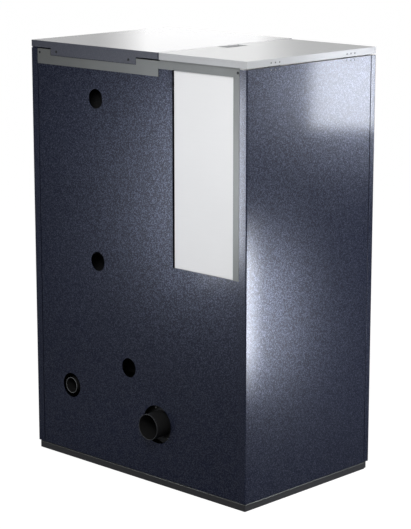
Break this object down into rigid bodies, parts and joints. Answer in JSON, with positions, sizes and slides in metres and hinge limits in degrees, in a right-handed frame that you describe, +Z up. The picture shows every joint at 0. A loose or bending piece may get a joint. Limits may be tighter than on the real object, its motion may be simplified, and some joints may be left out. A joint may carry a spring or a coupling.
{
  "type": "pellet boiler",
  "caption": "Floor-standing wood-pellet boiler with a side hopper under a hinged lid, fire door, ash drawer, auger feed, smoke fan and rear flue, air and water connections.",
  "frame": {"origin": "on the floor under the middle of the casing", "axes": "+Z up, +X towards the boiler side, -X towards the hopper side, -Y out of the front, +Y out of the rear with the flue"},
  "size_m": [0.911, 0.664, 1.32],
  "materials": {
    "navy_panel": "textured powder coat, satin",
    "navy_cover": "textured powder coat, satin",
    "grey_lid": "smooth powder coat, satin",
    "bare_rail": "bare zinc-coated sheet, matt",
    "pale_sheet": "pale coated sheet, satin",
    "zinc": "zinc coated",
    "bright_steel": "bright zinc",
    "hinge_grey": "phosphated steel, matt",
    "black_zinc": "black zinc",
    "plinth_black": "black coat, satin",
    "flue_black": "black stove paint",
    "frame_grey": "grey primer",
    "boiler_steel": "heat-proof dark paint",
    "cast_iron": "raw casting",
    "machine_grey": "machine enamel",
    "steel": "turned and pressed steel",
    "bronze": "bearing bronze",
    "rubber": "moulded rubber",
    "fibre": "mineral fibre",
    "dark_fibre": "black-faced mineral fibre",
    "refractory": "pressed vermiculite",
    "black_plastic": "fine-grained moulding",
    "display_black": "gloss front"
  },
  "bodies": {
    "root": {"base_plinth": "plinth_black", "base_plate": "plinth_black", "front_kick_plate": "plinth_black", "side_panel_left": "navy_panel", "side_panel_right": "navy_panel", "rear_panel": "navy_panel", "rear_rail": "bare_rail", "casing_screws": "black_zinc", "top_cover": "navy_cover", "hopper_front_panel": "navy_panel", "front_frame": "frame_grey", "boiler_front_panel": "navy_panel", "display_housing": "black_plastic", "display_glass": "display_black", "control_box": "black_plastic", "hopper_stand": "frame_grey", "hopper_tank": "pale_sheet", "hopper_funnel": "zinc", "hopper_guard": "zinc", "hopper_seal": "rubber", "lid_hinge_fixed": "hinge_grey", "lid_hinge_pins": "hinge_grey", "auger_tube": "machine_grey", "auger_bushes": "bronze", "auger_gearmotor": "machine_grey", "fall_tube": "machine_grey", "boiler_body": "boiler_steel", "smoke_chamber_lid": "boiler_steel", "insulation_blanket": "dark_fibre", "flame_baffle": "refractory", "ash_housing": "boiler_steel", "ash_housing_rear": "boiler_steel", "smoke_box": "boiler_steel", "burner_pot": "cast_iron", "air_box": "machine_grey", "air_box_rear": "machine_grey", "igniter": "steel", "water_sockets": "flue_black", "cleaning_gearmotor": "machine_grey", "fan_housing": "machine_grey", "fan_motor": "machine_grey", "flue_gasket": "fibre", "flue_outlet": "flue_black", "flue_screws": "bright_steel", "air_intake_pipe": "flue_black", "door_hinge_brackets": "frame_grey"},
    "hopper_lid": {"hopper_lid": "grey_lid", "lid_grip": "grey_lid", "lid_hinge_moving": "hinge_grey"},
    "boiler_door": {"boiler_door": "navy_panel", "fire_door_plate": "cast_iron", "door_gasket": "fibre"},
    "door_handle": {"door_handle": "black_plastic"},
    "ash_drawer": {"ash_drawer": "zinc", "ash_drawer_front": "navy_panel"},
    "auger_screw": {"auger_screw": "steel"},
    "fan_wheel": {"fan_wheel": "steel"},
    "turbulators": {"turbulators": "steel"},
    "cleaning_shaft": {"cleaning_shaft": "steel"},
    "main_switch": {"main_switch": "black_plastic"}
  },
  "joints": [
    {"name": "hopper_lid_hinge", "type": "hinge", "parent": "root", "child": "hopper_lid", "pos_m": [-0.451, 0, 1.301], "axis": [0, -1, 0], "range_deg": [0, 85]},
    {"name": "boiler_door_hinge", "type": "hinge", "parent": "root", "child": "boiler_door", "pos_m": [0.447, -0.298, 0.5675], "axis": [0, 0, 1], "range_deg": [0, 110]},
    {"name": "door_handle_turn", "type": "hinge", "parent": "boiler_door", "child": "door_handle", "pos_m": [-0.058, -0.305, 0.57], "axis": [0, -1, 0], "range_deg": [0, 90]},
    {"name": "ash_drawer_slide", "type": "slide", "parent": "root", "child": "ash_drawer", "axis": [0, -1, 0], "range_m": [0, 0.26]},
    {"name": "auger_turn", "type": "hinge", "parent": "root", "child": "auger_screw", "pos_m": [-0.345, -0.05, 0.27], "axis": [0.6157, 0, 0.788], "continuous": true},
    {"name": "fan_turn", "type": "hinge", "parent": "root", "child": "fan_wheel", "pos_m": [-0.089, 0.095, 0.24], "axis": [1, 0, 0], "continuous": true},
    {"name": "cleaning_turn", "type": "hinge", "parent": "root", "child": "cleaning_shaft", "pos_m": [0.166, -0.02, 1.1015], "axis": [1, 0, 0], "range_deg": [0, 30]},
    {"name": "turbulator_lift", "type": "slide", "parent": "root", "child": "turbulators", "axis": [0, 0, 1], "range_m": [0, 0.0366]},
    {"name": "main_switch_tilt", "type": "hinge", "parent": "root", "child": "main_switch", "pos_m": [0.267, -0.301, 1.18], "axis": [-1, 0, 0], "range_deg": [0, 16]}
  ],
  "couplings": [
    {"joint": "cleaning_turn", "follows": "turbulator_lift", "rad_per_m": 14.286}
  ]
}
